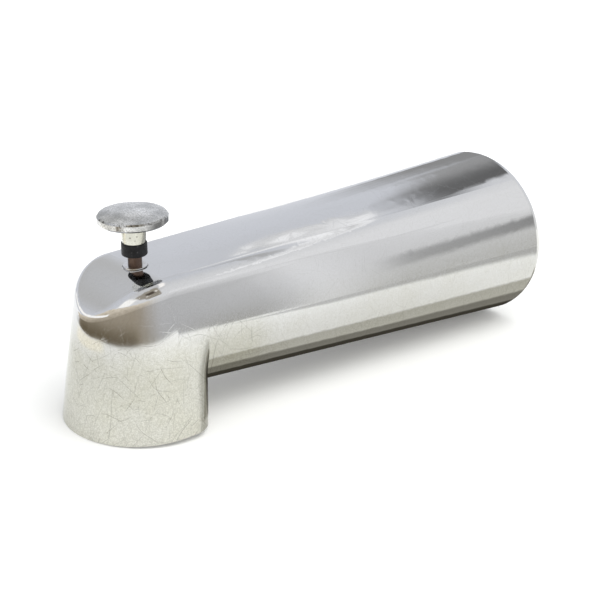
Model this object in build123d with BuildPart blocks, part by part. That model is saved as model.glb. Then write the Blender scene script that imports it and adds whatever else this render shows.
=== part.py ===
"""Bath spout with a pull-up diverter, in millimetres.

The spout is a hollow chrome-plated casting. Its wall end is round, and the tube
tapers to a flat-topped nose that turns down into a drafted outlet. A knob on the
nose lifts a gate inside the outlet, which shuts the port that the water comes
through and sends it up to the shower.

Origin: the mouth of the inlet thread, on the thread's axis.
+Y: out of the thread, towards the wall. +Z: up. -Y: towards the nose.
"""

import os
from math import acos, asin, atan2, cos, degrees, hypot, radians, sin, tan

from build123d import *

os.makedirs("parts", exist_ok=True)

# Where the main features lie from the mouth of the inlet thread
wall_reach = 124.0
rod_setback = 34.5
wall_centre_drop = 7.5

# Wall end
wall_diameter = 60.0
wall_edge_radius = 4.0
wall_land = 2.0
wall_flat_angle = 3.0

# Nose and outlet, with heights measured from the inlet axis
crown_height = 21.2
crown_flat = 26.0
crown_corner = 5.0
crown_bow_radius = 22.0
belly_drop = 18.6
rim_drop = 26.0
rim_radius = 24.5
rim_back = 10.4
rear_lean = 7.5
rear_corner = 8.0
throat_radius = 20.0
fairing_proud = 0.02
wall_thickness = 2.4

# Inlet boss, its threaded bushing and the port to the outlet
bushing_length = 18.0
bushing_wall = 2.9
thread_minor_diameter = 19.2
chamber_step = 0.3
boss_wall = 3.0
port_diameter = 12.0
port_rise = 3.0
bulkhead_thickness = 4.0
seat_width = 1.6
seat_height = 1.0

# Diverter gate, its rubber face and the rails that guide it
lift = 13.0
gate_width = 18.0
gate_margin = 2.2
gate_thickness = 1.5
gate_corner = 3.0
gate_rod_gap = 0.6
seal_overlap = 1.6
seal_thickness = 1.5
seal_gap = 0.3
seal_nib_diameter = 4.0
rail_gap = 0.4
rail_width = 2.4
rail_lip = 1.6
rail_cover = 1.6
rail_above_gate = 1.0
ledge_height = 2.6

# Lift rod, with the hub and nut that hold the gate on its stud
rod_diameter = 4.2
rod_clearance = 0.05
rod_hole_clearance = 0.3
stud_diameter = 2.8
stud_end = 0.8
hub_diameter = 9.0
hub_height = 5.0
nut_gap = 0.3
nut_height = 2.4

# Rod guide in the crown
spot_face_diameter = 7.8
spot_face_depth = 0.4
guide_diameter = 6.6
guide_flange_diameter = 7.2
guide_flange_height = 0.8
guide_length = 6.0
guide_boss_diameter = 11.0
guide_stop_gap = 0.3
o_ring_section = 1.1
o_ring_groove = 1.3

# Knob and its rubber ring
ring_rise = 3.75
ring_height = 3.95
ring_diameter = 7.7
ring_edge = 0.4
knob_diameter = 21.0
knob_rim_height = 2.5
knob_bevel = 0.5
knob_dome = 0.8
knob_hub_length = 6.3
knob_hub_top_diameter = 7.8
knob_hub_foot_diameter = 6.9
knob_socket_depth = 5.5

# Gap round pieces that are pressed, screwed or stretched into place
press_gap = 0.02

# Overcut that carries a hollow clear through an open face
overcut = 2.0

# Places worked out from the sizes above
rod_y = -rod_setback
rim_z = -rim_drop
wall_radius = wall_diameter / 2
wall_centre_z = -wall_centre_drop
corner_x = crown_flat / 2
corner_z = crown_height - crown_corner

# The nose flank is the line from the outlet rim that touches the crown's corner arc
flank_run = rim_radius - corner_x
flank_fall = rim_z - corner_z
flank_span = hypot(flank_run, flank_fall)
draft = degrees(acos(crown_corner / flank_span) + atan2(flank_fall, flank_run))
draft_sin = sin(radians(draft))
draft_cos = cos(radians(draft))
flank_offset = corner_x * draft_cos + corner_z * draft_sin + crown_corner

# The round belly touches both flanks and the underside
belly_radius = (flank_offset + belly_drop * draft_sin) / (1 + draft_sin)
belly_z = belly_radius - belly_drop

# The flank ends where the belly begins, and the outlet carries its plane on down
side_z = belly_z + belly_radius * draft_sin

# The fairing behind the outlet runs out where the throat arc turns level
lean_slope = tan(radians(rear_lean))
throat_run = throat_radius * tan(radians((90 - rear_lean) / 2))
fairing_back = rim_back + (side_z - rim_z) * lean_slope + throat_run
tube_length = wall_reach - wall_edge_radius - rod_y
fairing_share = fairing_back / tube_length
fairing_flare = (wall_radius - wall_centre_drop * draft_sin - flank_offset) / draft_cos
side_half = (flank_offset - side_z * draft_sin) / draft_cos
fairing_half = side_half + fairing_flare * fairing_share + fairing_proud

# Radii of the inlet, from the thread outwards
thread_radius = thread_minor_diameter / 2
bushing_radius = thread_radius + bushing_wall
boss_radius = bushing_radius + boss_wall

# Distances behind the lift rod, from the rod back to the bulkhead
rod_radius = rod_diameter / 2
gate_front = rod_radius + gate_rod_gap
gate_back = gate_front + gate_thickness
seal_back = gate_back + seal_thickness
bulkhead_front = seal_back + seal_gap + seat_height
bulkhead_back = bulkhead_front + bulkhead_thickness
rail_back = gate_front - rail_gap
rail_front = rail_back - rail_lip

# Heights at rest: the gate stands on its ledge, one lift below the port
gate_z = port_rise - lift
gate_half_height = port_diameter / 2 + gate_margin
ledge_z = gate_z - gate_half_height
rail_top_z = port_rise + gate_half_height + rail_above_gate
hub_top_z = gate_z + gate_half_height
hub_foot_z = hub_top_z - hub_height
stud_foot_z = hub_foot_z - nut_height - stud_end
guide_boss_foot_z = hub_top_z + lift + guide_stop_gap
guide_foot_z = crown_height - guide_length
spot_face_z = crown_height - spot_face_depth
ring_foot_z = crown_height + ring_rise
ring_top_z = ring_foot_z + ring_height
knob_underside_z = ring_top_z + knob_hub_length
knob_rim_top_z = knob_underside_z + knob_rim_height
o_ring_radius = rod_radius + rod_clearance + o_ring_section / 2
rail_inner_x = gate_width / 2 + rail_gap
rail_outer_x = rail_inner_x + rail_width


def flank(height, skin):
    """Half-width of the nose and outlet at a height, a skin inside the surface."""
    return (flank_offset - skin - height * draft_sin) / draft_cos


def tube_plane(behind_rod):
    """The upright plane across the tube at a distance behind the lift rod."""
    return Plane.XZ.offset(-rod_y - behind_rod)


def nose_section(skin):
    """Flat crown, two corner arcs, drafted flanks and a round belly."""
    corner_radius = crown_corner - skin
    round_radius = belly_radius - skin
    top = crown_height - skin
    corner_turn = 90 - draft
    with BuildSketch(tube_plane(0)) as section:
        with BuildLine():
            Line((-corner_x, top), (corner_x, top))
            right_corner = CenterArc((corner_x, corner_z), corner_radius, 90, -corner_turn)
            belly = CenterArc((0, belly_z), round_radius, draft, -180 - 2 * draft)
            Line(right_corner @ 1, belly @ 0)
            left_corner = CenterArc((-corner_x, corner_z), corner_radius, 180 - draft, -corner_turn)
            Line(belly @ 1, left_corner @ 0)
        make_face()
    return section.sketch


def wall_section(radius, behind_rod):
    """The round wall end, split where the nose section has its corners."""
    centre = (0, wall_centre_z)
    turn = 90 - draft - 2 * wall_flat_angle
    flat_turn = 2 * wall_flat_angle
    flank_start = draft + wall_flat_angle
    belly_start = draft - wall_flat_angle
    with BuildSketch(tube_plane(behind_rod)) as section:
        with BuildLine():
            CenterArc(centre, radius, 90 + wall_flat_angle, -flat_turn)
            CenterArc(centre, radius, 90 - wall_flat_angle, -turn)
            CenterArc(centre, radius, flank_start, -flat_turn)
            CenterArc(centre, radius, belly_start, -180 - 2 * belly_start)
            CenterArc(centre, radius, 180 - belly_start, -flat_turn)
            CenterArc(centre, radius, 180 - flank_start, -turn)
        make_face()
    return section.sketch


def nose_form(skin, foot_z):
    """Front half of the nose and outlet: the flank turned about the lift rod, under a bowed crown."""
    top = crown_height - skin
    bow = crown_bow_radius
    past = crown_height + overcut
    front_y = rod_y - wall_radius
    with BuildPart() as form:
        with BuildSketch(tube_plane(0)):
            with BuildLine():
                Polyline(
                    (0, top),
                    (flank(top, skin), top),
                    (flank(foot_z, skin), foot_z),
                    (0, foot_z),
                    close=True,
                )
            make_face()
        revolve(axis=Axis((0, rod_y, 0), (0, 0, 1)), revolution_arc=-180)
        with BuildSketch(Plane.YZ):
            with BuildLine():
                crown_line = CenterArc((rod_y, top - bow), bow, 90, 90)
                Polyline(crown_line @ 1, (front_y, top - bow), (front_y, past), (rod_y, past), crown_line @ 0)
            make_face()
        extrude(amount=wall_diameter, both=True, mode=Mode.SUBTRACT)
        crown = form.faces().sort_by(Axis.Z)[-1]
        fillet(crown.edges().sort_by(Axis.Y)[0], crown_corner - skin)
    return form.part


def outlet_back_form(skin, foot_z):
    """Rear half of the outlet, with its leaning back, round corners and the arc of the throat."""
    rim_half = flank(foot_z, skin)
    top_half = flank(side_z, skin)
    rear_half = rim_half + (fairing_half - skin - top_half) * rim_back / fairing_back
    back_y = rod_y + fairing_back
    level_z = side_z + skin
    rim_back_y = rod_y + rim_back - skin / cos(radians(rear_lean))
    low_y = rim_back_y - overcut * lean_slope
    low_z = rim_z - overcut
    bend_y = rim_back_y + (level_z - rim_z) * lean_slope
    past_y = back_y + overcut
    with BuildPart() as form:
        with BuildSketch(Plane.XY.offset(side_z)):
            with BuildLine():
                Polyline(
                    (-top_half, rod_y),
                    (top_half, rod_y),
                    (fairing_half - skin, back_y),
                    (skin - fairing_half, back_y),
                    close=True,
                )
            make_face()
        with BuildSketch(Plane.XY.offset(foot_z)):
            with BuildLine():
                Polyline(
                    (-rim_half, rod_y),
                    (rim_half, rod_y),
                    (rear_half, rod_y + rim_back),
                    (-rear_half, rod_y + rim_back),
                    close=True,
                )
            make_face()
        loft(ruled=True)
        with BuildSketch(Plane.YZ) as behind:
            with BuildLine():
                Polyline(
                    (low_y, low_z),
                    (bend_y, level_z),
                    (past_y + throat_run, level_z),
                    (past_y + throat_run, low_z),
                    close=True,
                )
            make_face()
            bend = behind.vertices().sort_by_distance((bend_y, level_z))[0]
            fillet(bend, throat_radius + skin)
        extrude(amount=wall_diameter, both=True, mode=Mode.SUBTRACT)
        rear_edges = form.edges().filter_by(GeomType.BSPLINE).sort_by(Axis.Z)[:2]
        fillet(rear_edges, rear_corner - skin)
    return form.part


def tube_form(skin, wall_skin, length):
    """The tube from the lift rod to a plane near the wall."""
    with BuildPart() as form:
        loft(sections=[nose_section(skin), wall_section(wall_radius - wall_skin, length)], ruled=True)
    return form.part


# Forms of the outside and of the hollow inside it
hollow_length = wall_reach - rod_y
hollow_foot_z = rim_z - overcut
outer_tube = tube_form(0, 0, tube_length)
outer_nose = nose_form(0, rim_z)
outer_back = outlet_back_form(0, rim_z)
inner_tube = tube_form(wall_thickness, wall_edge_radius + wall_land, hollow_length)
inner_nose = nose_form(wall_thickness, hollow_foot_z)
inner_back = outlet_back_form(wall_thickness, hollow_foot_z)

# Hollow of the tube, cut in two by the bulkhead that carries the inlet
with BuildPart() as pipe_hollow:
    add(inner_tube)
    split(bisect_by=tube_plane(bulkhead_back), keep=Keep.BOTTOM)

with BuildPart() as outlet_hollow:
    add(inner_tube)
    add(inner_back)
    split(bisect_by=tube_plane(bulkhead_front), keep=Keep.TOP)
    add(inner_nose)

# Casting: the outside, less its two hollows, plus the cast features inside them
with BuildPart() as spout_body:
    add(outer_back)
    add(outer_tube)
    add(outer_nose)
    with BuildSketch(Plane.YZ):
        with BuildLine():
            edge_y = wall_reach - wall_edge_radius
            edge_z = wall_centre_z + wall_radius - wall_edge_radius
            edge_arc = CenterArc((edge_y, edge_z), wall_edge_radius, 90, -90)
            Polyline(edge_arc @ 1, (wall_reach, wall_centre_z), (edge_y, wall_centre_z), edge_arc @ 0)
        make_face()
    revolve(axis=Axis((0, 0, wall_centre_z), (0, 1, 0)))
    add(pipe_hollow.part, mode=Mode.SUBTRACT)
    add(outlet_hollow.part, mode=Mode.SUBTRACT)
    # Inlet boss behind the bulkhead, and the raised seat round the port in front of it
    with BuildSketch(Plane.XZ):
        Circle(boss_radius)
    extrude(amount=rod_setback - bulkhead_back + bulkhead_thickness / 2)
    with BuildSketch(tube_plane(bulkhead_front)):
        with Locations((0, port_rise)):
            Circle(port_diameter / 2 + seat_width)
    extrude(amount=seat_height)
    # Rails that hold the gate to the seat, and the ledge that it stands on
    with BuildSketch(Plane.XY.offset(ledge_z)):
        with BuildLine():
            Polyline(
                (rail_inner_x, rod_y + bulkhead_back - bulkhead_thickness / 2),
                (rail_inner_x, rod_y + rail_back),
                (rail_inner_x - rail_gap - rail_cover, rod_y + rail_back),
                (rail_inner_x - rail_gap - rail_cover, rod_y + rail_front),
                (rail_outer_x, rod_y + rail_front),
                (rail_outer_x, rod_y + bulkhead_back - bulkhead_thickness / 2),
                close=True,
            )
        make_face()
        mirror(about=Plane.YZ)
    extrude(amount=rail_top_z - ledge_z)
    with BuildSketch(Plane.XY.offset(ledge_z)):
        with Locations((0, rod_y + rail_front)):
            Rectangle(2 * rail_outer_x, bulkhead_front - rail_front, align=(Align.CENTER, Align.MIN))
    extrude(amount=-ledge_height)
    # Boss under the crown that guides the rod and stops the gate at the top of its lift
    with BuildSketch(Plane.XY.offset(guide_boss_foot_z)):
        with Locations((0, rod_y)):
            Circle(guide_boss_diameter / 2)
    extrude(amount=crown_height - wall_thickness / 2 - guide_boss_foot_z)
    # Bores from the wall side: bushing, chamber and port
    with BuildSketch(Plane.XZ):
        Circle(bushing_radius)
    extrude(amount=bushing_length, mode=Mode.SUBTRACT)
    with BuildSketch(Plane.XZ):
        Circle(thread_radius - chamber_step)
    extrude(amount=rod_setback - bulkhead_back, mode=Mode.SUBTRACT)
    with BuildSketch(tube_plane(bulkhead_back)):
        with Locations((0, port_rise)):
            Circle(port_diameter / 2)
    extrude(amount=bulkhead_back - seal_back, mode=Mode.SUBTRACT)
    # Bores through the crown: spot face, guide and rod
    with BuildSketch(Plane.XY.offset(spot_face_z)):
        with Locations((0, rod_y)):
            Circle(spot_face_diameter / 2)
    extrude(amount=spot_face_depth + overcut, mode=Mode.SUBTRACT)
    with BuildSketch(Plane.XY.offset(guide_foot_z - o_ring_groove)):
        with Locations((0, rod_y)):
            Circle(guide_diameter / 2)
    extrude(amount=o_ring_groove + guide_length, mode=Mode.SUBTRACT)
    with BuildSketch(Plane.XY.offset(guide_boss_foot_z)):
        with Locations((0, rod_y)):
            Circle(rod_radius + rod_hole_clearance)
    extrude(amount=guide_foot_z - guide_boss_foot_z, mode=Mode.SUBTRACT)

# Threaded bushing pressed into the inlet boss
with BuildPart() as inlet_bushing:
    with BuildSketch(Plane.XZ):
        Circle(bushing_radius - press_gap)
        Circle(thread_radius, mode=Mode.SUBTRACT)
    extrude(amount=bushing_length)

# Flanged guide in the crown
with BuildPart() as rod_guide:
    with BuildSketch(Plane.XY.offset(guide_foot_z)):
        with Locations((0, rod_y)):
            Circle(guide_diameter / 2 - press_gap)
    extrude(amount=spot_face_z - guide_foot_z)
    with BuildSketch(Plane.XY.offset(spot_face_z)):
        with Locations((0, rod_y)):
            Circle(guide_flange_diameter / 2)
    extrude(amount=guide_flange_height)
    with BuildSketch(Plane.XY.offset(guide_foot_z)):
        with Locations((0, rod_y)):
            Circle(rod_radius + rod_clearance)
    extrude(amount=spot_face_z + guide_flange_height - guide_foot_z, mode=Mode.SUBTRACT)

# Sealing ring in the groove under the guide
with BuildPart() as rod_seal:
    with BuildSketch(Plane.XZ.offset(-rod_y)):
        with Locations((o_ring_radius, guide_foot_z - o_ring_groove / 2)):
            Circle(o_ring_section / 2)
    revolve(axis=Axis((0, rod_y, 0), (0, 0, 1)))

# Lift rod, shouldered on the gate's hub and let into the knob
with BuildPart() as lift_rod:
    with BuildSketch(Plane.XY.offset(hub_top_z)):
        with Locations((0, rod_y)):
            Circle(rod_radius)
    extrude(amount=ring_top_z + knob_socket_depth - hub_top_z)
    with BuildSketch(Plane.XY.offset(stud_foot_z)):
        with Locations((0, rod_y)):
            Circle(stud_diameter / 2)
    extrude(amount=hub_top_z - stud_foot_z)

# Gate: a plate that faces the seat, on a hub that hangs from the rod
with BuildPart() as diverter_gate:
    with BuildSketch(tube_plane(gate_front)):
        with Locations((0, gate_z)):
            RectangleRounded(gate_width, 2 * gate_half_height, gate_corner)
            Circle(seal_nib_diameter / 2 + press_gap, mode=Mode.SUBTRACT)
    extrude(amount=-gate_thickness)
    with BuildSketch(Plane.XY.offset(hub_foot_z)):
        with Locations((0, rod_y)):
            Circle(hub_diameter / 2)
            Rectangle(hub_diameter, hub_diameter, align=(Align.CENTER, Align.MIN))
            Circle(stud_diameter / 2 + press_gap, mode=Mode.SUBTRACT)
        with Locations((0, rod_y + gate_front)):
            Rectangle(hub_diameter, hub_diameter, align=(Align.CENTER, Align.MIN), mode=Mode.SUBTRACT)
    extrude(amount=hub_height)

# Rubber face of the gate, held by a nib through the plate
with BuildPart() as gate_seal:
    with BuildSketch(tube_plane(gate_back)):
        with Locations((0, gate_z)):
            Circle(port_diameter / 2 + seal_overlap)
    extrude(amount=-seal_thickness)
    with BuildSketch(tube_plane(gate_back)):
        with Locations((0, gate_z)):
            Circle(seal_nib_diameter / 2)
    extrude(amount=gate_thickness)

# Nut on the stud, under the hub
with BuildPart() as gate_nut:
    with BuildSketch(Plane.XY.offset(hub_foot_z)):
        with Locations((0, rod_y)):
            RegularPolygon(gate_front - nut_gap, 6, major_radius=False)
            Circle(stud_diameter / 2 + press_gap, mode=Mode.SUBTRACT)
    extrude(amount=-nut_height)

# Rubber ring that cushions the knob
with BuildPart() as knob_ring:
    with BuildSketch(Plane.XY.offset(ring_foot_z)):
        with Locations((0, rod_y)):
            Circle(ring_diameter / 2)
            Circle(rod_radius + press_gap, mode=Mode.SUBTRACT)
    extrude(amount=ring_height)
    rims = knob_ring.edges().filter_by(GeomType.CIRCLE).sort_by(SortBy.RADIUS)[-2:]
    fillet(rims, ring_edge)

# Knob: a domed disc on a tapered hub, bored for the rod
with BuildPart() as diverter_knob:
    knob_radius = knob_diameter / 2
    dome_edge = knob_radius - knob_bevel
    dome_radius = (dome_edge**2 + knob_dome**2) / (2 * knob_dome)
    dome_turn = degrees(asin(dome_edge / dome_radius))
    with BuildSketch(Plane.XZ.offset(-rod_y)):
        with BuildLine():
            Polyline(
                (0, knob_rim_top_z + knob_dome),
                (0, ring_top_z),
                (knob_hub_foot_diameter / 2, ring_top_z),
                (knob_hub_top_diameter / 2, knob_underside_z),
                (dome_edge, knob_underside_z),
                (knob_radius, knob_underside_z + knob_bevel),
                (knob_radius, knob_rim_top_z - knob_bevel),
                (dome_edge, knob_rim_top_z),
            )
            CenterArc((0, knob_rim_top_z + knob_dome - dome_radius), dome_radius, 90, -dome_turn)
        make_face()
    revolve(axis=Axis((0, rod_y, 0), (0, 0, 1)))
    with BuildSketch(Plane.XY.offset(ring_top_z)):
        with Locations((0, rod_y)):
            Circle(rod_radius + press_gap)
    extrude(amount=knob_socket_depth, mode=Mode.SUBTRACT)

# One named solid in one file for each piece
spout_body.part.label = "spout_body"
export_step(spout_body.part, "parts/spout_body.step")
inlet_bushing.part.label = "inlet_bushing"
export_step(inlet_bushing.part, "parts/inlet_bushing.step")
rod_guide.part.label = "rod_guide"
export_step(rod_guide.part, "parts/rod_guide.step")
rod_seal.part.label = "rod_seal"
export_step(rod_seal.part, "parts/rod_seal.step")
lift_rod.part.label = "lift_rod"
export_step(lift_rod.part, "parts/lift_rod.step")
diverter_gate.part.label = "diverter_gate"
export_step(diverter_gate.part, "parts/diverter_gate.step")
gate_seal.part.label = "gate_seal"
export_step(gate_seal.part, "parts/gate_seal.step")
gate_nut.part.label = "gate_nut"
export_step(gate_nut.part, "parts/gate_nut.step")
knob_ring.part.label = "knob_ring"
export_step(knob_ring.part, "parts/knob_ring.step")
diverter_knob.part.label = "diverter_knob"
export_step(diverter_knob.part, "parts/diverter_knob.step")
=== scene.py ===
# %% [markdown]
# # A used bath spout with a pull-up diverter
# The solids come packed from the CAD step, in metres, with the origin at the mouth of the
# inlet thread. +Y points at the wall, +Z points up, and the nose is at -Y. This lesson gives
# the solids their finishes, cuts the thread that the solids leave plain, and lights a small
# studio in which worn chrome looks like worn chrome.

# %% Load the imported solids
from math import atan2, cos, degrees, pi, radians, sin

import bmesh
import bpy
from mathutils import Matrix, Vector


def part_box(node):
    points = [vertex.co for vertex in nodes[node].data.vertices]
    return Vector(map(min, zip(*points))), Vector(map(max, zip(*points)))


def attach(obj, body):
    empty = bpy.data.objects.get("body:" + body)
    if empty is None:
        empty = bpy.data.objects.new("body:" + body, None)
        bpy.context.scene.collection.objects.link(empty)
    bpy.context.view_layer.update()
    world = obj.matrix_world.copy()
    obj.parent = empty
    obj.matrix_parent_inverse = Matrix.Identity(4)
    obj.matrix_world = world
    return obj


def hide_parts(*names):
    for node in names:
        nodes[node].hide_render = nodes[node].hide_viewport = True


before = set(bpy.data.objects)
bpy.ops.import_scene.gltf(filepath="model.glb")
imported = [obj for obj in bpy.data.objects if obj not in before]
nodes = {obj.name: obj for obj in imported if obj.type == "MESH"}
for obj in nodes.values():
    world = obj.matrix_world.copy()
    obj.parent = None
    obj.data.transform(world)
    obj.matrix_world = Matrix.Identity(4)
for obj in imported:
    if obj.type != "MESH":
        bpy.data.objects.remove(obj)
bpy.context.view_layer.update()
print("pieces:", sorted(nodes))

# %% [markdown]
# ## Camera
# The picture was taken from in front of the nose, to the right and above. The camera could
# be placed by eye, but the outline of the spout fixes it well: one direction, one distance
# and one lens make the solids cover the picture. A long lens keeps the wall end from looking
# too small.

# %% Camera at the picture's angle
camera_turn = radians(47.2)
camera_rise = radians(23.73)
camera_distance = 0.4506
camera_target = Vector((0.0, 0.0317, -0.0096))

camera_back = Vector((
    sin(camera_turn) * cos(camera_rise),
    -cos(camera_turn) * cos(camera_rise),
    sin(camera_rise),
))
camera_data = bpy.data.cameras.new("camera")
camera_data.sensor_width = 36.0
camera_data.lens = 80.8
camera_data.clip_start = 0.01
camera = bpy.data.objects.new("camera", camera_data)
camera.location = camera_target + camera_back * camera_distance
camera.rotation_euler = camera_back.to_track_quat("Z", "Y").to_euler()
bpy.context.scene.collection.objects.link(camera)
bpy.context.scene.camera = camera
bpy.context.scene.view_settings.view_transform = "Standard"
print("camera at", [round(v, 4) for v in camera.location])

# %% [markdown]
# ## Node helpers
# Every finish on the spout is a small web of nodes. It could be wired by hand in the node
# editor, but in code the numbers stay in sight and the web can be built again. One helper
# adds a node and fills or links its sockets in a single call. The others are short names for
# the steps that every finish needs.


# %% Helpers that add nodes
def fill(tree, target, value):
    """Link a socket to an input, or set the input to a plain value."""
    if isinstance(value, bpy.types.NodeSocket):
        tree.links.new(value, target)
    else:
        target.default_value = value


def node(tree, kind, settings=None, **sockets):
    """Add a node, set its options, and fill its inputs by name, or by number as _0."""
    made = tree.nodes.new(kind)
    for option, value in (settings or {}).items():
        setattr(made, option, value)
    for label, value in sockets.items():
        number = label[1:]
        key = int(number) if number.isdigit() else label.replace("_", " ")
        fill(tree, made.inputs[key], value)
    return made


def calc(tree, operation, first, second=0.0, clamp=False):
    """One arithmetic step on numbers or sockets."""
    settings = {"operation": operation, "use_clamp": clamp}
    return node(tree, "ShaderNodeMath", settings, _0=first, _1=second).outputs[0]


def times(tree, first, *others):
    """The product of two or more values."""
    for other in others:
        first = calc(tree, "MULTIPLY", first, other)
    return first


def span(tree, value, low, high, to_low=0.0, to_high=1.0):
    """Map a value smoothly from one range to another, and hold it at the ends."""
    made = node(
        tree, "ShaderNodeMapRange", {"interpolation_type": "SMOOTHSTEP"},
        Value=value, From_Min=low, From_Max=high, To_Min=to_low, To_Max=to_high,
    )
    return made.outputs["Result"]


def split(tree, vector):
    """The X, Y and Z of a vector."""
    return node(tree, "ShaderNodeSeparateXYZ", None, Vector=vector).outputs


def noise(tree, vector, scale, detail, roughness):
    """A cloudy noise, from about 0.2 to 0.8."""
    made = node(
        tree, "ShaderNodeTexNoise", None,
        Vector=vector, Scale=scale, Detail=detail, Roughness=roughness,
    )
    return made.outputs["Fac"]


def tone(red, green=None, blue=None):
    """A colour, grey if only one number is given."""
    return (red, red if green is None else green, red if blue is None else blue, 1.0)


def mix(tree, share, first, second):
    """Blend two colours by a share from 0 to 1."""
    made = node(tree, "ShaderNodeMix", {"data_type": "RGBA"}, _0=share, _6=first, _7=second)
    return made.outputs[2]


print("node helpers ready")

# %% [markdown]
# ## Groups and finishes
# Scratches and water marks lie on several pieces of the real spout. Their nodes could be
# copied into each material, but a node group with named sockets is built once and placed in
# each finish, so a change is made in one place. Every finish ends the same way, with a
# colour, a roughness and a fine bump, so that end is a helper too.

# %% Helpers for groups and finishes
FLOAT = "NodeSocketFloat"
VECTOR = "NodeSocketVector"
COLOUR = "NodeSocketColor"


def start_group(name, inputs, outputs):
    """A node group with named sockets, with its entry and exit nodes."""
    tree = bpy.data.node_groups.new(name, "ShaderNodeTree")
    for label, kind, value in inputs:
        socket = tree.interface.new_socket(name=label, in_out="INPUT", socket_type=kind)
        if value is not None:
            socket.default_value = value
    for label, kind in outputs:
        tree.interface.new_socket(name=label, in_out="OUTPUT", socket_type=kind)
    return tree, tree.nodes.new("NodeGroupInput"), tree.nodes.new("NodeGroupOutput")


def place_group(tree, group, **sockets):
    """Place a node group in a material, fill or link its inputs, and give its outputs."""
    return node(tree, "ShaderNodeGroup", {"node_tree": group}, **sockets).outputs


def start_material(name):
    """A material with its shader node ready, and the object's own coordinates."""
    material = bpy.data.materials.new(name)
    material.use_nodes = True
    tree = material.node_tree
    shader = tree.nodes["Principled BSDF"]
    place = tree.nodes.new("ShaderNodeTexCoord").outputs["Object"]
    return material, tree, shader, place


def layered(tree, base, layers):
    """Lay colours over a base one after another, each by its own share."""
    for share, colour in layers:
        base = mix(tree, share, base, colour)
    return base


def dress(tree, shader, colour, roughness, relief, strength, depth):
    """Link a colour, a roughness and a fine bump to the shader."""
    tree.links.new(colour, shader.inputs["Base Color"])
    tree.links.new(roughness, shader.inputs["Roughness"])
    bump = node(tree, "ShaderNodeBump", None, Strength=strength, Distance=depth, Height=relief)
    tree.links.new(bump.outputs["Normal"], shader.inputs["Normal"])


print("finish helpers ready")

# %% [markdown]
# ## A flat sheet for surface marks
# Scratches lie on a surface, so they are easiest to draw on a flat sheet. The casting could
# be unwrapped, but folding its coordinates gives a sheet that works on every outer face: the
# first number runs round the nose and along the flank, and the second runs over the crown
# and down the side.

# %% Sheet group
sheet, entry, leave = start_group("surface_sheet", [("Place", VECTOR, None)], [("Sheet", VECTOR)])
spot = split(sheet, entry.outputs["Place"])
from_middle = calc(sheet, "ABSOLUTE", spot["X"])
along = calc(sheet, "ADD", from_middle, spot["Y"])
over = calc(sheet, "SUBTRACT", spot["Z"], from_middle)
flat = node(sheet, "ShaderNodeCombineXYZ", None, X=along, Y=over, Z=0.0)
sheet.links.new(flat.outputs[0], leave.inputs["Sheet"])
print("group:", sheet.name)

# %% [markdown]
# ## Hairline scratches
# Years of wiping leave fine scratches in chrome, in every direction. They could be modelled
# as curves, but there are hundreds. Here each layer splits the sheet into cells, and each
# cell carries one stroke: a thin line through the cell's point, turned and bowed by the
# cell's own random numbers. A soft noise pushes the sheet about first, which bends the
# strokes a little more. Many cells stay empty or faint, so the strokes look made by hand.

# %% Bent sheet for the scratches
scratches, entry, leave = start_group(
    "hairline_scratches", [("Sheet", VECTOR, None), ("Width", FLOAT, 0.00006)], [("Mask", FLOAT)]
)
wave_scale = 42.0
wave_reach = 0.0090
waves = node(
    scratches, "ShaderNodeTexNoise", {"noise_dimensions": "2D"},
    Vector=entry.outputs["Sheet"], Scale=wave_scale, Detail=1.0,
).outputs["Color"]
bent = node(
    scratches, "ShaderNodeVectorMath", {"operation": "MULTIPLY_ADD"},
    _0=waves, _1=(wave_reach, wave_reach, 0.0), _2=entry.outputs["Sheet"],
).outputs[0]
print("group:", scratches.name)


# %% Layers of strokes
def vector_step(operation, first, second):
    """One step on two vectors of the scratch group."""
    settings = {"operation": operation}
    return node(scratches, "ShaderNodeVectorMath", settings, _0=first, _1=second).outputs[0]


scratch_cells = [38.0, 47.0, 58.0, 75.0, 100.0, 140.0, 190.0, 260.0, 66.0, 88.0, 120.0]
layer_shift = Vector((0.013, 0.029, 0.0))
most_bow = 0.3
stroke_reach = 0.75
scratch_total = 0.0
for index, cell_scale in enumerate(scratch_cells):
    shifted = vector_step("ADD", bent, layer_shift * index)
    cells = node(
        scratches, "ShaderNodeTexVoronoi", {"voronoi_dimensions": "2D"},
        Vector=shifted, Scale=cell_scale,
    ).outputs
    chance = node(scratches, "ShaderNodeSeparateColor", None, Color=cells["Color"]).outputs
    turned = node(
        scratches, "ShaderNodeVectorRotate", {"rotation_type": "Z_AXIS"},
        Vector=vector_step("SUBTRACT", shifted, cells["Position"]),
        Angle=times(scratches, chance[0], 2 * pi),
    ).outputs[0]
    stroke = split(scratches, turned)
    bow = times(scratches, calc(scratches, "SUBTRACT", chance[1], 0.5), most_bow * cell_scale)
    bowed = times(scratches, calc(scratches, "POWER", stroke["X"], 2.0), bow)
    off_line = calc(scratches, "ABSOLUTE", calc(scratches, "ADD", stroke["Y"], bowed))
    line = span(scratches, off_line, entry.outputs["Width"], 0.0)
    reach = stroke_reach / cell_scale
    ends = span(scratches, calc(scratches, "ABSOLUTE", stroke["X"]), reach, 0.3 * reach)
    faint = span(scratches, chance[2], 0.35, 0.95)
    scratch_total = calc(scratches, "MAXIMUM", times(scratches, line, ends, faint), scratch_total)
scratches.links.new(scratch_total, leave.inputs["Mask"])
print("scratch layers:", len(scratch_cells))

# %% [markdown]
# ## Specks and film
# Hard water leaves a thin pale film with small dark specks in it. Both could be painted on
# an image, but masks made from noise have no seams and stay sharp at any size: a wide, soft
# noise for the film, two finer ones for grain and dust, and the centres of small cells for
# the specks. Most of the cells are left out, so that the specks look scattered.

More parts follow.
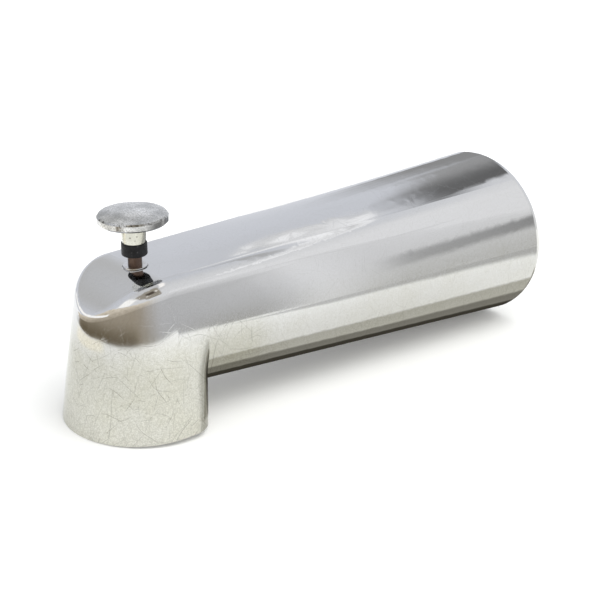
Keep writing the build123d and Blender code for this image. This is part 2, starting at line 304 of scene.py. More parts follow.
# %% Speck and film group
water_marks, entry, leave = start_group(
    "water_marks",
    [("Place", VECTOR, None), ("Speck Scale", FLOAT, 700.0), ("Film Scale", FLOAT, 60.0)],
    [("Specks", FLOAT), ("Film", FLOAT), ("Grain", FLOAT), ("Dust", FLOAT)],
)
place = entry.outputs["Place"]
grain_scale = 900.0
dust_scale = 2400.0
cells = node(
    water_marks, "ShaderNodeTexVoronoi", None, Vector=place, Scale=entry.outputs["Speck Scale"]
).outputs
chosen = node(water_marks, "ShaderNodeSeparateColor", None, Color=cells["Color"]).outputs[0]
near = span(water_marks, cells["Distance"], 0.34, 0.12)
film = noise(water_marks, place, entry.outputs["Film Scale"], 6.0, 0.62)
dust = noise(water_marks, place, dust_scale, 2.0, 0.6)
mark_masks = {
    "Specks": times(water_marks, near, span(water_marks, chosen, 0.72, 0.86)),
    "Film": span(water_marks, film, 0.35, 0.7),
    "Grain": noise(water_marks, place, grain_scale, 4.0, 0.7),
    "Dust": span(water_marks, dust, 0.36, 0.64),
}
for label, mask in mark_masks.items():
    water_marks.links.new(mask, leave.inputs[label])
print("group:", water_marks.name, "with", list(mark_masks))

# %% [markdown]
# ## Inside and outside of the casting
# Only the outside of a spout is buffed and plated. Inside, the metal is as it came from the
# mould. The faces could be given two materials by hand, but the mesh of a solid is left as it
# came, so the shader has to tell the two apart: a point whose surface faces the tube's axis,
# or the outlet's axis, is inside, and so is anything very near those axes.

# %% Distances from the two axes
inside, entry, leave = start_group(
    "casting_inside", [("Place", VECTOR, None), ("Facing", VECTOR, None)], [("Mask", FLOAT)]
)
rod_y = -0.0345
wall_y = 0.124
spot = split(inside, entry.outputs["Place"])
turn = split(inside, entry.outputs["Facing"])


def from_axis(first, second, first_turn, second_turn):
    """How far a point is from an axis, and how much its surface faces away from the axis."""
    outward = calc(
        inside, "ADD", times(inside, first, first_turn), times(inside, second, second_turn)
    )
    squares = [calc(inside, "POWER", value, 2.0) for value in (first, second)]
    return calc(inside, "SQRT", calc(inside, "ADD", *squares)), outward


axis_z = span(inside, spot["Y"], rod_y, wall_y, 0.001, -0.0075)
from_axis_z = calc(inside, "SUBTRACT", spot["Z"], axis_z)
tube_far, tube_outward = from_axis(spot["X"], from_axis_z, turn["X"], turn["Z"])
from_rod_y = calc(inside, "SUBTRACT", spot["Y"], rod_y)
outlet_far, outlet_outward = from_axis(spot["X"], from_rod_y, turn["X"], turn["Y"])
print("axes measured:", inside.name)


# %% Mask of the unplated inside
def under(value, limit):
    """1 where the value is less than the limit."""
    return calc(inside, "LESS_THAN", value, limit)


def past(value, limit):
    """1 where the value is more than the limit."""
    return calc(inside, "GREATER_THAN", value, limit)


def either(first, *others):
    """1 where any of the masks is 1."""
    for other in others:
        first = calc(inside, "MAXIMUM", first, other)
    return first


tube_core = 0.0170
outlet_core = 0.0172
faces_in = -0.001
bulkhead_y = rod_y + 0.0062
rim_top_z = -0.0259
crown_under_z = 0.0205
in_tube = times(
    inside, past(spot["Y"], rod_y),
    either(under(tube_outward, faces_in), under(tube_far, tube_core)),
)
low_core = times(inside, under(outlet_far, outlet_core), under(spot["Z"], 0.0))
in_outlet = times(
    inside, under(spot["Y"], bulkhead_y), past(spot["Z"], rim_top_z),
    either(under(outlet_outward, faces_in), low_core),
)
under_crown = times(inside, under(turn["Z"], -0.3), past(spot["Z"], 0.009))
inner = either(in_tube, in_outlet, under_crown)
inside.links.new(times(inside, inner, under(spot["Z"], crown_under_z)), leave.inputs["Mask"])
print("group:", inside.name)

# %% [markdown]
# ## Worn chrome of the casting
# Chrome is a mirror, so nearly all of its look is what stands around it. What the plating
# adds is small: it takes back a third of the light, it has scratches and specks, and patches
# of hard-water film lie on its lower half. That half is also painted creamy, a painted
# reflection of a cream floor, painted lighter towards the rim, and the faces turned back to
# the wall near the outlet get painted shade. One even grey could stand for all of that, but
# then the spout would look new. So the wear and the painted light and shade are laid on in
# layers, each with its own mask, and a bump as fine as the scratches lets them catch the light.

# %% Where the casting is worn, and where light and shade are painted
chrome_body, tree, shader, place = start_material("worn_chrome_casting")
facing = place.node.outputs["Normal"]
marks = place_group(tree, water_marks, Place=place, Speck_Scale=620.0, Film_Scale=55.0)
flat = place_group(tree, sheet, Place=place)["Sheet"]
hairs = place_group(tree, scratches, Sheet=flat, Width=0.00013)["Mask"]
rough_inside = place_group(tree, inside, Place=place, Facing=facing)["Mask"]
spot = split(tree, place)
turn = split(tree, facing)
low_down = span(tree, spot["Z"], 0.012, -0.006)
at_outlet = span(tree, spot["Y"], 0.005, -0.015, 0.45, 1.0)
patchy = span(tree, marks["Film"], 0.0, 1.0, 0.75, 1.0)
film = times(tree, low_down, at_outlet, patchy)
# painted light: the cream of the lower half is painted lighter towards the rim
painted_light_to_rim = span(tree, spot["Z"], -0.004, -0.026)
# painted shade: faces near the outlet that turn back to the wall are darkened
back_faces_painted_shade = times(
    tree, span(tree, turn["Y"], -0.03, 0.30), span(tree, spot["Y"], 0.02, 0.0)
)
print("masks of wear placed in", chrome_body.name)

# %% Colours of the casting
plain_chrome = tone(0.66, 0.665, 0.68)
# painted reflection: the cream stands in for a cream floor mirrored in the lower half, laid in
# patches with the hard-water film
cream_reflection_and_film_tone = mix(tree, painted_light_to_rim, tone(0.56, 0.555, 0.49), tone(0.70, 0.695, 0.62))
mottle = times(tree, film, span(tree, marks["Grain"], 0.35, 0.65, 0.0, 0.30))
dusty = times(tree, marks["Dust"], span(tree, film, 0.0, 0.8, 0.09, 0.42))
worn = times(tree, hairs, span(tree, film, 0.2, 0.9, 0.10, 0.72))
spotted = times(tree, marks["Specks"], span(tree, film, 0.0, 1.0, 0.05, 0.26))
plating = layered(tree, plain_chrome, [
    (film, cream_reflection_and_film_tone),
    (mottle, tone(0.40, 0.39, 0.32)),
    (dusty, tone(0.36, 0.35, 0.29)),
    (worn, tone(0.20, 0.19, 0.16)),
    # painted shade on the faces turned back to the wall
    (times(tree, back_faces_painted_shade, 0.55), tone(0.17, 0.165, 0.14)),
    (spotted, tone(0.25, 0.23, 0.18)),
])
cast_metal = mix(tree, marks["Grain"], tone(0.16, 0.155, 0.14), tone(0.34, 0.33, 0.30))
cast_roughness = 0.55
film_roughness = span(tree, film, 0.0, 1.0, 0.045, 0.075)
plated_roughness = calc(tree, "ADD", film_roughness, times(tree, hairs, 0.10))
cast_grain = times(tree, marks["Grain"], rough_inside, 6.0)
dress(
    tree, shader, mix(tree, rough_inside, plating, cast_metal),
    span(tree, rough_inside, 0.0, 1.0, plated_roughness, cast_roughness),
    calc(tree, "SUBTRACT", cast_grain, times(tree, hairs, 0.15)), strength=0.25, depth=0.00003,
)
shader.inputs["Metallic"].default_value = 1.0
print("finish:", chrome_body.name)

# %% [markdown]
# ## Worn chrome of the knob
# The knob is plated too, but fingers have dulled its top into clouds of bright and grey, its
# bevel has lost flecks of chrome, and cream scale sits on the hub. The side of its upright rim
# toward +X is painted dark, a painted dark reflection. It could share the casting's finish,
# but its wear is of another kind, so it gets its own layers from the same groups. The
# surface's direction tells the bevel and the upright rim from the top.

# %% Where the knob is worn, and where its rim is painted dark
chrome_knob, tree, shader, place = start_material("worn_chrome_knob")
turn = split(tree, place.node.outputs["Normal"])
marks = place_group(tree, water_marks, Place=place, Speck_Scale=900.0, Film_Scale=95.0)
flat = place_group(tree, sheet, Place=place)["Sheet"]
hairs = place_group(tree, scratches, Sheet=flat, Width=0.00008)["Mask"]
on_bevel = times(tree, span(tree, turn["Z"], 0.12, 0.40), span(tree, turn["Z"], 0.93, 0.80))
fleck = times(tree, on_bevel, span(tree, marks["Grain"], 0.52, 0.60))
# painted dark reflection: the upright rim's side toward +X is darkened
rim_side_painted_dark = times(tree, span(tree, turn["X"], 0.45, 0.85), span(tree, turn["Y"], -0.45, 0.0))
on_hub = span(tree, split(tree, place)["Z"], 0.0350, 0.0342)
spotted = times(tree, marks["Specks"], span(tree, on_hub, 0.0, 1.0, 0.5, 0.9))
print("masks of wear placed in", chrome_knob.name)

# %% Colours of the knob
plating = layered(tree, tone(0.94, 0.935, 0.92), [
    (marks["Film"], tone(0.42, 0.425, 0.42)),
    (times(tree, marks["Dust"], 0.50), tone(0.22, 0.22, 0.21)),
    (times(tree, fleck, 0.85), tone(0.09, 0.088, 0.08)),
    # painted dark reflection on the rim's side toward +X
    (times(tree, rim_side_painted_dark, 0.75), tone(0.12)),
    (times(tree, on_hub, 0.6), tone(0.70, 0.69, 0.58)),
    (spotted, tone(0.16, 0.15, 0.12)),
])
hair_roughness = calc(tree, "ADD", times(tree, hairs, 0.15), 0.06)
knob_roughness = calc(tree, "ADD", times(tree, marks["Film"], 0.10), hair_roughness)
dress(tree, shader, plating, knob_roughness, marks["Film"], strength=0.3, depth=0.00006)
shader.inputs["Metallic"].default_value = 1.0
print("finish:", chrome_knob.name)

# %% [markdown]
# ## Brass
# The rod is bare brass that has gone brown in the air. The gate, the nut and the bushing are
# brass in running water, which stays yellower. Two separate materials could be wired, but
# both are the same clouds of stain between a clean and a stained colour, so one function
# makes them.


# %% Brass, in two states
def brass_finish(name, clean, stained, stain_share, roughness):
    """Brass that goes from a clean colour to a stained one in clouds."""
    material, tree, shader, place = start_material(name)
    marks = place_group(tree, water_marks, Place=place, Speck_Scale=800.0, Film_Scale=220.0)
    stain = calc(tree, "ADD", marks["Film"], stain_share)
    colour = layered(tree, clean, [
        (calc(tree, "MULTIPLY", stain, 0.7, clamp=True), stained),
        (times(tree, marks["Specks"], 0.6), tone(0.05, 0.04, 0.03)),
    ])
    grainy = calc(tree, "ADD", times(tree, marks["Grain"], 0.25), roughness)
    dress(tree, shader, colour, grainy, marks["Grain"], strength=0.3, depth=0.00005)
    shader.inputs["Metallic"].default_value = 1.0
    return material


brass_rod = brass_finish(
    "brown_brass_rod", tone(0.15, 0.105, 0.085), tone(0.06, 0.041, 0.033),
    stain_share=0.30, roughness=0.22,
)
brass_inner = brass_finish(
    "wet_brass", tone(0.62, 0.46, 0.22), tone(0.36, 0.25, 0.12),
    stain_share=0.2, roughness=0.28,
)
print("finishes:", brass_rod.name, brass_inner.name)

# %% [markdown]
# ## Black rubber
# The ring under the knob and the two seals are black rubber with a dusty bloom. A plain
# black would do from far off, but close up rubber is never even. Soft clouds of two blacks,
# a few grey specks and a low gloss keep it dark and still show its round edge.

# %% Rubber of the ring and the seals
black_rubber, tree, shader, place = start_material("black_rubber")
marks = place_group(tree, water_marks, Place=place, Speck_Scale=1100.0, Film_Scale=350.0)
rubber_colour = layered(tree, tone(0.004, 0.0045, 0.006), [
    (marks["Film"], tone(0.014, 0.015, 0.018)),
    (times(tree, marks["Specks"], 0.4), tone(0.12)),
])
rubber_roughness = span(tree, marks["Grain"], 0.3, 0.7, 0.42, 0.62)
dress(
    tree, shader, rubber_colour, rubber_roughness, marks["Grain"], strength=0.35, depth=0.00006
)
shader.inputs["Specular IOR Level"].default_value = 0.3
print("finish:", black_rubber.name)

# %% [markdown]
# ## Plated guide
# The thin flange round the rod is plated like the knob, but it is too small to show
# scratches. It could borrow the knob's chrome, but that finish looks for a hub and a bevel.
# Clouds of two greys with dark specks are enough here.

# %% Plated metal of the rod guide
guide_metal, tree, shader, place = start_material("worn_plated_guide")
marks = place_group(tree, water_marks, Place=place, Speck_Scale=900.0, Film_Scale=260.0)
guide_colour = layered(tree, tone(0.68, 0.68, 0.70), [
    (marks["Film"], tone(0.46, 0.45, 0.43)),
    (times(tree, marks["Specks"], 0.6), tone(0.10, 0.09, 0.07)),
])
guide_roughness = span(tree, marks["Grain"], 0.3, 0.7, 0.10, 0.22)
dress(
    tree, shader, guide_colour, guide_roughness, marks["Grain"], strength=0.2, depth=0.00004
)
shader.inputs["Metallic"].default_value = 1.0
print("finish:", guide_metal.name)

# %% [markdown]
# ## One finish for each solid
# Each piece of the real spout is made of one material, so each solid gets one finish. The
# finishes could be set piece by piece, but a table shows at a glance what is made of what.

# %% Give each solid its finish
finishes = {
    "spout_body": chrome_body,
    "diverter_knob": chrome_knob,
    "lift_rod": brass_rod,
    "diverter_gate": brass_inner,
    "gate_nut": brass_inner,
    "inlet_bushing": brass_inner,
    "rod_seal": black_rubber,
    "gate_seal": black_rubber,
    "knob_ring": black_rubber,
    "rod_guide": guide_metal,
}
for name, finish in finishes.items():
    nodes[name].data.materials.clear()
    nodes[name].data.materials.append(finish)
print("dressed:", len(finishes))

# %% [markdown]
# ## The inlet thread
# The pipe screws into a brass bushing inside the wall end. The solid bushing has a plain bore
# at the tips of the thread, so the picture needs the grooves. They could be cut with a
# boolean, but a thread is only a radius that depends on the angle and the depth, so a grid
# that winds with the helix gives clean ridges. At both ends the grid is held at the end
# plane, and the points that fall together there are joined.

# %% Shape of the thread
bush_low, bush_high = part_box("inlet_bushing")
bush_outer = bush_high.x
tip_radius = 0.0096
root_radius = 0.0106
mouth_radius = 0.0110
thread_pitch = 0.001814
lead_in_depth = 0.0016
root_flat = 0.06
flank_share = 0.36
turn_steps = 96
pitch_steps = 10
angles = [2 * pi * step / turn_steps for step in range(turn_steps + 1)]


def thread_radius(angle, along):
    """Radius of the thread at an angle and a place along the bore, with a lead-in cone."""
    phase = ((along - bush_low.y) / thread_pitch - angle / (2 * pi)) % 1.0
    flank = min(1.0, max(0.0, (abs(phase - 0.5) - root_flat) / flank_share))
    depth = bush_high.y - along
    cone = mouth_radius - depth * (mouth_radius - tip_radius) / lead_in_depth
    return max(root_radius + (tip_radius - root_radius) * flank, cone)


def outer_ring(along):
    """A ring of points on the bushing's outside."""
    return [(bush_outer * cos(angle), along, bush_outer * sin(angle)) for angle in angles]


def winding_row(start):
    """A row of points that climbs one pitch in one turn, held between the end planes."""
    points = []
    for step, angle in enumerate(angles):
        along = start + thread_pitch * step / turn_steps
        along = min(bush_high.y, max(bush_low.y, along))
        radius = thread_radius(angle, along)
        points.append((radius * cos(angle), along, radius * sin(angle)))
    return points


turns = int((bush_high.y - bush_low.y) / thread_pitch) + 2
print("turns of thread:", turns - 2)

# %% Threaded bushing
join_distance = 1e-7
sharp_angle = radians(28)
rows = [outer_ring(bush_low.y)]
for row in range(-pitch_steps, turns * pitch_steps):
    rows.append(winding_row(bush_low.y + row * thread_pitch / pitch_steps))
rows += [outer_ring(bush_high.y), outer_ring(bush_low.y)]
shell = bmesh.new()
grid = [[shell.verts.new(point) for point in row] for row in rows]
for below, above in zip(grid, grid[1:]):
    for step in range(turn_steps):
        shell.faces.new((below[step], below[step + 1], above[step + 1], above[step]))
bmesh.ops.remove_doubles(shell, verts=shell.verts, dist=join_distance)
bmesh.ops.recalc_face_normals(shell, faces=shell.faces)
bushing_mesh = bpy.data.meshes.new("threaded_bushing")
shell.to_mesh(bushing_mesh)
shell.free()
bushing_mesh.shade_smooth()
bushing_mesh.set_sharp_from_angle(angle=sharp_angle)
bushing_mesh.materials.append(brass_inner)
bushing = bpy.data.objects.new("threaded_bushing", bushing_mesh)
bpy.context.scene.collection.objects.link(bushing)
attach(bushing, "spout")
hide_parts("inlet_bushing")
print("bushing faces:", len(bushing_mesh.polygons))

# %% [markdown]
# ## Floor
# The spout stands on the front of its rim and on the foot of its wall end, so the floor leans
# a little in the spout's own frame. The floor could be a white picture behind the object, but
# a real floor takes the shadow. Its paint glows a little where it is seen, so that it reads as
# white, and glows less near the spout, which paints a darker shade there on top of the real
# shadow.

# %% Floor under the rim and the wall end
body_low, body_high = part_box("spout_body")
rim_z = -0.026
rim_inset = 0.0015
wall_inset = 0.004
rim_rest = Vector((0.0, body_low.y + rim_inset, rim_z))
wall_rest = Vector((0.0, body_high.y - wall_inset, body_low.z))
floor_slope = (wall_rest.z - rim_rest.z) / (wall_rest.y - rim_rest.y)
floor_lean = atan2(wall_rest.z - rim_rest.z, wall_rest.y - rim_rest.y)
floor_half = 6.0
floor_gap = 0.0002
corners = [(-1, -1), (1, -1), (1, 1), (-1, 1)]
floor_mesh = bpy.data.meshes.new("floor")
floor_mesh.from_pydata(
    [(floor_half * x, floor_half * y, 0) for x, y in corners], [], [(0, 1, 2, 3)]
)
floor = bpy.data.objects.new("floor", floor_mesh)
floor.location = rim_rest - Vector((0, 0, floor_gap))
floor.rotation_euler = (floor_lean, 0, 0)
bpy.context.scene.collection.objects.link(floor)
print("floor leans", round(degrees(floor_lean), 2), "degrees")

# %% Paint of the floor
floor_paint, tree, shader, place = start_material("pale_floor")
spout_middle = 0.06
spout_half = 0.08
ray = tree.nodes.new("ShaderNodeLightPath").outputs
seen = calc(tree, "MAXIMUM", ray["Is Camera Ray"], ray["Is Glossy Ray"])
seen = calc(tree, "MAXIMUM", seen, ray["Is Transmission Ray"])
spot = split(tree, place)
from_middle = calc(tree, "ABSOLUTE", calc(tree, "SUBTRACT", spot["Y"], spout_middle))
beyond = calc(tree, "MAXIMUM", calc(tree, "SUBTRACT", from_middle, spout_half), 0.0)
squares = [calc(tree, "POWER", value, 2.0) for value in (spot["X"], beyond)]
away = calc(tree, "SQRT", calc(tree, "ADD", *squares))
# painted shade: the glow drops near the spout, so the floor there is darker than its real shadow
# makes it
floor_glow = times(tree, seen, span(tree, away, 0.03, 0.25, 0.14, 0.35))
tree.links.new(floor_glow, shader.inputs["Emission Strength"])
shader.inputs["Emission Color"].default_value = tone(1.0)
shader.inputs["Base Color"].default_value = tone(0.86, 0.86, 0.84)
shader.inputs["Roughness"].default_value = 0.9
shader.inputs["Specular IOR Level"].default_value = 0.1
floor_mesh.materials.append(floor_paint)
print("floor paint:", floor_paint.name)

# %% [markdown]
# ## Cards for the chrome to mirror
# Chrome shows the room, so the room is built for it, as a photographer does with sheets of
# card. A painted picture of a room could do the same, but cards can be moved one by one. A
# card is a strip between two lines of points, with a tone at each corner, soft edges and, if
# asked, streaks. Those three are node groups, because many cards use them. The cards are seen
# only in reflections.

# %% Group for soft edges
soft_edges, entry, leave = start_group(
    "soft_edges",
    [("Sheet", VECTOR, None), ("Along", FLOAT, 0.1), ("Across", FLOAT, 0.1)], [("Mask", FLOAT)],
)
spot = split(soft_edges, entry.outputs["Sheet"])
solid = 1.0
for side, label in (("X", "Along"), ("Y", "Across")):
    other_end = calc(soft_edges, "SUBTRACT", 1.0, spot[side])
    edge = calc(soft_edges, "MINIMUM", spot[side], other_end)
    solid = times(soft_edges, span(soft_edges, edge, 0.0, entry.outputs[label]), solid)
soft_edges.links.new(solid, leave.inputs["Mask"])
print("group:", soft_edges.name)

# %% Group for a tone at each corner
change_sockets = [("Sheet", VECTOR, None), ("Change From", FLOAT, 0.0), ("Change To", FLOAT, 1.0)]
corner_names = ["Foot Left", "Foot Right", "Head Left", "Head Right"]
corner_tones, entry, leave = start_group(
    "corner_tones",
    change_sockets + [(name, COLOUR, tone(1.0)) for name in corner_names], [("Colour", COLOUR)],
)
spot = split(corner_tones, entry.outputs["Sheet"])
changed = span(corner_tones, spot["X"], entry.outputs["Change From"], entry.outputs["Change To"])
foot_left, foot_right, head_left, head_right = [entry.outputs[name] for name in corner_names]
foot_tone = mix(corner_tones, changed, foot_left, foot_right)
head_tone = mix(corner_tones, changed, head_left, head_right)
colour = mix(corner_tones, spot["Y"], foot_tone, head_tone)
corner_tones.links.new(colour, leave.inputs["Colour"])
print("group:", corner_tones.name)

# %% Group for streaks
card_streaks, entry, leave = start_group(
    "card_streaks",
    change_sockets + [(name, FLOAT, 1.0) for name in ("Along", "Across", "Low", "High")],
    [("Share", FLOAT)],
)
given = entry.outputs
spot = split(card_streaks, given["Sheet"])
changed = span(card_streaks, spot["X"], given["Change From"], given["Change To"])
stretched = node(
    card_streaks, "ShaderNodeCombineXYZ", None,
    X=times(card_streaks, spot["X"], given["Along"]),
    Y=times(card_streaks, spot["Y"], given["Across"]), Z=0.0,
).outputs[0]
cloudy = noise(card_streaks, stretched, 1.0, 5.0, 0.65)
streaked = span(card_streaks, cloudy, given["Low"], given["High"])
share = times(card_streaks, streaked, calc(card_streaks, "SUBTRACT", 1.0, changed))
card_streaks.links.new(share, leave.inputs["Share"])
print("group:", card_streaks.name)


# %% Mesh and paint of a card
def card_mesh(name, foot, head):
    """A strip of faces between two lines of points, with a sheet from 0 to 1 both ways."""
    mesh = bpy.data.meshes.new(name)
    count = len(foot)
    faces = [(i, i + 1, count + i + 1, count + i) for i in range(count - 1)]
    mesh.from_pydata([Vector(point) for point in foot + head], [], faces)
    sheet_map = mesh.uv_layers.new(name="sheet")
    for loop in mesh.loops:
        column = loop.vertex_index % count
        sheet_map.data[loop.index].uv = (column / (count - 1), loop.vertex_index // count)
    return mesh


def card_paint(name, tones, soft, change, streaks):
    """Glowing paint with one tone or a tone at each corner, streaks if asked, and soft edges.

    The softness is a share of the card, along it and across it. The change is the range along
    the card in which one tone of a pair turns into the other. Streaks are given as their
    number along and across, their tone, and the range of noise in which they come in.
    """
    paint, tree, shader, place = start_material(name)
    sheet_place = place.node.outputs["UV"]
    where = {"Sheet": sheet_place, "Change_From": change[0], "Change_To": change[1]}
    colour = tones
    if isinstance(tones[0], tuple):
        corners = zip(corner_names, tones[0] + tones[1])
        where_tones = {label.replace(" ", "_"): corner for label, corner in corners}
        colour = place_group(tree, corner_tones, **where, **where_tones)["Colour"]
    if streaks:
        along, across, streak_tone, low, high = streaks
        limits = {"Along": along, "Across": across, "Low": low, "High": high}
        share = place_group(tree, card_streaks, **where, **limits)["Share"]
        colour = mix(tree, share, colour, streak_tone)
    edges = place_group(tree, soft_edges, Sheet=sheet_place, Along=soft[0], Across=soft[1])
    fill(tree, shader.inputs["Alpha"], edges["Mask"])
    fill(tree, shader.inputs["Emission Color"], colour)
    shader.inputs["Emission Strength"].default_value = 1.0
    shader.inputs["Base Color"].default_value = tone(0.0)
    shader.inputs["Specular IOR Level"].default_value = 0.0
    return paint


print("card helpers ready")

# %% Place a card
floor_lift = 0.0003


def card(name, foot, head, tones, soft, change=(0.0, 1.0), streaks=None):
    """A card with one tone, or with a pair of tones at its foot and a pair at its head."""
    mesh = card_mesh(name, foot, head)
    mesh.materials.append(card_paint(name, tones, soft, change, streaks))
    board = bpy.data.objects.new(name, mesh)
    bpy.context.scene.collection.objects.link(board)
    board.visible_camera = False
    board.visible_diffuse = False
    board.visible_shadow = False


def stand(points, height):
    """The points of a floor line, lifted to a height."""
    return [(x, y, height) for x, y in points]


def on_floor(points, lift=floor_lift):
    """The points of a floor line, laid a hair above the leaning floor."""
    return [(x, y, rim_rest.z + (y - rim_rest.y) * floor_slope + lift) for x, y in points]


print("cards can be placed")

# %% [markdown]
# ## Screen in front of the nose
# In the picture the nose mirrors something brown that stands in front of it, with a dark
# foot and a bright line where the floor begins. That could be painted on the nose, but then
# it would not move with the view. A low screen bends round the nose instead, brown in front
# and grey beside, and its foot draws the line where the floor ends in the mirror.

# %% Low screen
screen_middle = Vector((0.04, 0.008))
screen_radius = 0.194
screen_closes = -108.0
screen_closing = 0.0005
screen_height = 0.092
screen_sunk = 0.006


def bend_line(first, last, steps, inward=0.0):
    """Points of the screen's line. Angles are in degrees from +X, and the left end closes in."""
    points = []
    for step in range(steps + 1):
        angle = first + (last - first) * step / steps
        reach = screen_radius - max(0.0, screen_closes - angle) * screen_closing - inward
        turn = radians(angle)
        points.append((screen_middle.x + reach * cos(turn), screen_middle.y + reach * sin(turn)))
    return points


screen_line = bend_line(-145, 14, 24) + [
    (0.196, 0.106), (0.188, 0.118), (0.181, 0.13), (0.176, 0.14), (0.168, 0.17), (0.150, 0.30),
]
screen_tops = [0.0, 0.01, 0.03, 0.055, 0.08]
screen_tops += [screen_height] * (len(screen_line) - len(screen_tops))
card(
    "low_screen", on_floor(screen_line, -screen_sunk),
    [(x, y, top) for (x, y), top in zip(screen_line, screen_tops)],
    ((tone(0.35, 0.30, 0.225), tone(0.60)), (tone(1.05, 0.94, 0.77), tone(0.99))),
    soft=(0.015, 0.05), change=(0.42, 0.72),
    streaks=(60.0, 8.0, tone(0.40, 0.34, 0.25), 0.46, 0.80),
)
print("screen points:", len(screen_line))

# %% Foot of the screen and light on the knob's rim
shade_line = bend_line(-155, -45, 20, 0.0015)
shade_height = 0.010
card(
    "foot_shade", on_floor(shade_line, -shade_height), on_floor(shade_line, shade_height),
    tone(0.17, 0.135, 0.085), soft=(0.20, 0.50),
)
glow_near = on_floor(bend_line(-150, -100, 10, 0.022))
glow_far = on_floor(bend_line(-150, -100, 10, 0.002))
card("foot_glow", glow_near, glow_far, tone(1.35, 1.30, 1.15), soft=(0.20, 0.25))
rim_radius = 0.055
rim_low, rim_high = 0.0160, 0.0235
rim_turns = [radians(angle) for angle in range(-155, -80, 5)]
rim_line = [(rim_radius * cos(turn), rod_y + rim_radius * sin(turn)) for turn in rim_turns]
card(
    "rim_light", stand(rim_line, rim_low), stand(rim_line, rim_high),
    tone(1.4, 1.38, 1.33), soft=(0.05, 0.20),
)
print("cards at the nose placed")

# %% [markdown]
# ## Cards beside and below the tube
# The tube's flank mirrors a pale wall that darkens to the wall end, and its underside goes
# from pale to black in three steps. One graded card could do it, but the steps are clear, so
# three mats on the floor, each darker and narrower than the last, paint the shade under the
# tube that the underside mirrors.

# %% Wall and mat beside the flank
side_low, side_high = -0.08, 0.075
side_line = [(0.174, 0.085), (0.164, 0.17), (0.146, 0.30)]
card(
    "side_screen", stand(side_line, side_low), stand(side_line, side_high),
    ((tone(1.02), tone(0.72)), (tone(1.05), tone(0.94))), soft=(0.25, 0.05), change=(0.15, 0.50),
)
band_tones = (tone(0.55), tone(0.27))
card(
    "side_band", [(0.155, 0.135, -0.020), (0.135, 0.33, 0.030)],
    [(0.155, 0.135, 0.024), (0.135, 0.33, 0.088)], (band_tones, band_tones), soft=(0.18, 0.38),
)
mat_inner = [(0.150, 0.05), (0.095, 0.08), (0.084, 0.12), (0.078, 0.15), (0.060, 0.20)]
mat_outer = [(0.190, 0.05), (0.190, 0.10), (0.180, 0.14), (0.170, 0.18), (0.150, 0.30)]
card(
    "side_mat", on_floor(mat_inner), on_floor(mat_outer),
    ((tone(0.80), tone(0.66)), (tone(0.85), tone(0.68))), soft=(0.15, 0.25),
)
print("cards beside the flank placed")

# %% Mats of painted shade under the tube
# painted shade: mats that stand in for the shade under the tube, seen only in the underside's
# mirror
under_shade_mats = [
    ("under_pale", 0.0300, 0.0325, 0.0400, tone(0.62, 0.61, 0.55)),
    ("under_grey", 0.0190, 0.0215, 0.0285, tone(0.25, 0.24, 0.21)),
    ("under_black", 0.0105, 0.0145, 0.0205, tone(0.05, 0.045, 0.035)),
]
mat_left = -0.06
mat_step = 0.0001
mat_stations = (-0.02, 0.06, 0.17)
for layer, (name, front, middle, back, paint) in enumerate(under_shade_mats):
    lift = floor_lift + mat_step * layer
    left = on_floor([(mat_left, y) for y in mat_stations], lift)
    right = on_floor(list(zip((front, middle, back), mat_stations)), lift)
    card(name, left, right, paint, soft=(0.04, 0.03))
print("mats:", len(under_shade_mats))

# %% [markdown]
# ## Cards overhead
# The crown and the upper flank mirror the ceiling: a bright strip with streaks along the
# tube, a dark field near the wall end and a brown one over the nose. Lamps could make the
# bright part, but they can't make the dark ones, so all of it is card. Where cards overlap,
# the lower one hides the higher one.

# %% Bright cards overhead
ceiling = 0.5
card_gap = 0.001
bright_near = [
    (-0.66, 0.53), (-0.50, 0.49), (-0.35, 0.47), (-0.20, 0.455),
    (-0.05, 0.43), (0.10, 0.405), (0.30, 0.395), (0.50, 0.42),
]
bright_far = [
    (-0.66, 0.575), (-0.50, 0.575), (-0.35, 0.575), (-0.20, 0.56),
    (-0.05, 0.53), (0.10, 0.47), (0.30, 0.44), (0.50, 0.46),
]
card(
    "bright_strip", stand(bright_near, ceiling), stand(bright_far, ceiling),
    tone(1.30), soft=(0.16, 0.22), change=(0.6, 1.0),
    streaks=(1.6, 9.0, tone(0.80), 0.45, 0.58),
)
card(
    "low_streak", stand([(-0.40, 0.405), (-0.10, 0.375), (0.16, 0.37)], ceiling - card_gap),
    stand([(-0.40, 0.445), (-0.10, 0.425), (0.16, 0.41)], ceiling - card_gap),
    tone(0.62), soft=(0.35, 0.40),
)
card(
    "right_sheet", stand([(0.06, 0.40), (1.30, 0.30)], ceiling + 2 * card_gap),
    stand([(0.02, 0.90), (1.30, 1.60)], ceiling + 2 * card_gap),
    ((tone(1.06), tone(1.06)), (tone(1.04), tone(1.04))), soft=(0.15, 0.20),
)
print("bright cards overhead placed")

# %% Dark cards overhead
dark_near = [
    (-0.80, 0.90), (-0.60, 0.78), (-0.42, 0.64), (-0.32, 0.565),
    (-0.20, 0.535), (-0.08, 0.545), (0.02, 0.59),
]
dark_far = [
    (-0.66, 1.06), (-0.44, 0.94), (-0.28, 0.86), (-0.18, 0.80),
    (-0.10, 0.76), (-0.02, 0.74), (0.05, 0.72),
]
card(
    "dark_flag", stand(dark_near, ceiling - card_gap), stand(dark_far, ceiling - card_gap),
    ((tone(0.46), tone(0.20)), (tone(0.40), tone(0.16))), soft=(0.16, 0.34), change=(0.2, 0.75),
)
far_near = [
    (-0.45, 0.72), (-0.70, 0.81), (-1.00, 0.93), (-1.30, 1.14),
    (-2.0, 1.70), (-4.5, 3.85), (-9.5, 8.0),
]
far_far = [
    (-0.10, 0.95), (-0.35, 1.30), (-0.65, 1.60), (-1.00, 2.00),
    (-1.7, 2.70), (-4.0, 5.0), (-8.0, 10.0),
]
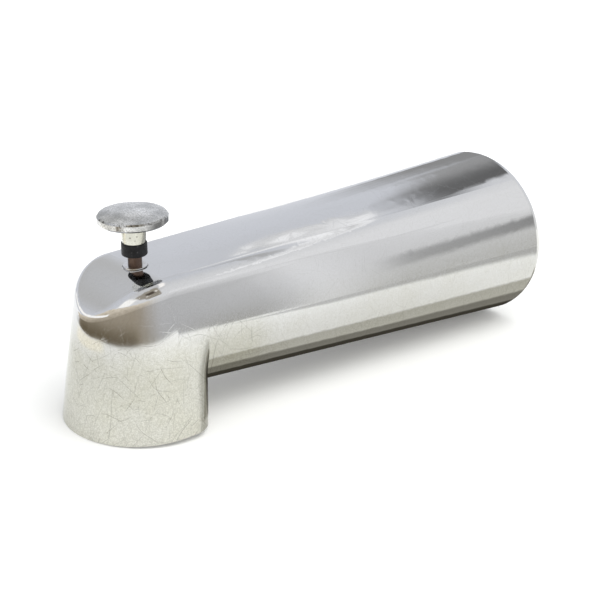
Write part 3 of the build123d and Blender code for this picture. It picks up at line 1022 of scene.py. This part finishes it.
card(
    "far_dark", stand(far_near, ceiling), stand(far_far, ceiling),
    ((tone(0.40), tone(0.34)), (tone(0.32), tone(0.30))), soft=(0.10, 0.34),
)
brown_foot = (tone(0.44, 0.40, 0.34), tone(0.46, 0.43, 0.37))
brown_head = (tone(0.42, 0.38, 0.31), tone(0.32, 0.29, 0.24))
card(
    "brown_flag", stand([(0.04, -0.44), (0.78, -0.44)], ceiling),
    stand([(0.0, 0.06), (0.78, 0.14)], ceiling), (brown_foot, brown_head),
    soft=(0.12, 0.16), change=(0.5, 1.0), streaks=(5.0, 4.0, tone(1.2, 1.15, 1.05), 0.54, 0.64),
)
print("dark cards overhead placed")

# %% [markdown]
# ## Small flags overhead
# The shoulder behind the knob shows a few sharp flecks of white, brown and black, and the
# crown shows one broad soft grey. Streak noise could scatter flecks, but not where the
# picture has them, so each one gets a small flag of its own.

# %% Small flags
small_flags = {
    "front_grey": ((-1.60, -0.90), (-0.30, -0.90), (-1.60, 0.80), (-0.30, 0.70),
                   tone(0.67, 0.67, 0.665), 0.32),
    "white_spot": ((-0.16, -0.95), (0.46, -0.95), (-0.16, -0.31), (0.26, -0.33),
                   tone(1.4, 1.38, 1.32), 0.22),
    "white_fleck": ((-0.12, 0.09), (0.18, 0.07), (-0.12, 0.24), (0.16, 0.20),
                    tone(1.4, 1.36, 1.3), 0.25),
    "dark_core": ((0.14, -0.24), (0.36, -0.24), (0.14, -0.02), (0.36, 0.0),
                  tone(0.10, 0.08, 0.06), 0.35),
    "black_fleck": ((-0.50, 0.01), (-0.14, -0.16), (-0.46, 0.09), (-0.12, -0.04),
                    tone(0.04, 0.035, 0.03), 0.25),
}
flag_height = ceiling - 2 * card_gap
for name, (near_left, near_right, far_left, far_right, paint, soft) in small_flags.items():
    near = stand([near_left, near_right], flag_height)
    far = stand([far_left, far_right], flag_height)
    card(name, near, far, paint, soft=(soft, soft))
print("small flags:", len(small_flags))

# %% [markdown]
# ## Room light
# The rest of the room is plain and pale, a little bluer on the left. It could be lit by many
# lamps, but an even world gives the soft light of a studio at once. One large lamp above
# shapes the shadow, and the chrome does not mirror it.

# %% World
world = bpy.data.worlds.new("room")
bpy.context.scene.world = world
world.use_nodes = True
tree = world.node_tree
tree.nodes.clear()
toward = split(tree, tree.nodes.new("ShaderNodeTexCoord").outputs["Generated"])
left_tone = tone(0.82, 0.84, 0.89)
right_tone = tone(0.96, 0.965, 0.97)
room = mix(tree, span(tree, toward["X"], -0.5, 0.4), left_tone, right_tone)
room = mix(tree, span(tree, toward["Z"], 0.75, 1.0), room, tone(0.80))
glow = node(tree, "ShaderNodeBackground", None, Color=room, Strength=1.0)
node(tree, "ShaderNodeOutputWorld", None, Surface=glow.outputs[0])
print("world:", world.name)

# %% Lamp
lamp_data = bpy.data.lights.new("key_lamp", "AREA")
lamp_data.shape = "RECTANGLE"
lamp_data.size = 1.2
lamp_data.size_y = 0.8
lamp_data.energy = 9.0
lamp = bpy.data.objects.new("key_lamp", lamp_data)
lamp.location = (0.5, 0.2, 1.2)
lamp_target = Vector((0, 0.03, 0))
lamp.rotation_euler = (Vector(lamp.location) - lamp_target).to_track_quat("Z", "Y").to_euler()
lamp.visible_glossy = False
bpy.context.scene.collection.objects.link(lamp)
print("lamp:", lamp_data.energy, "W")
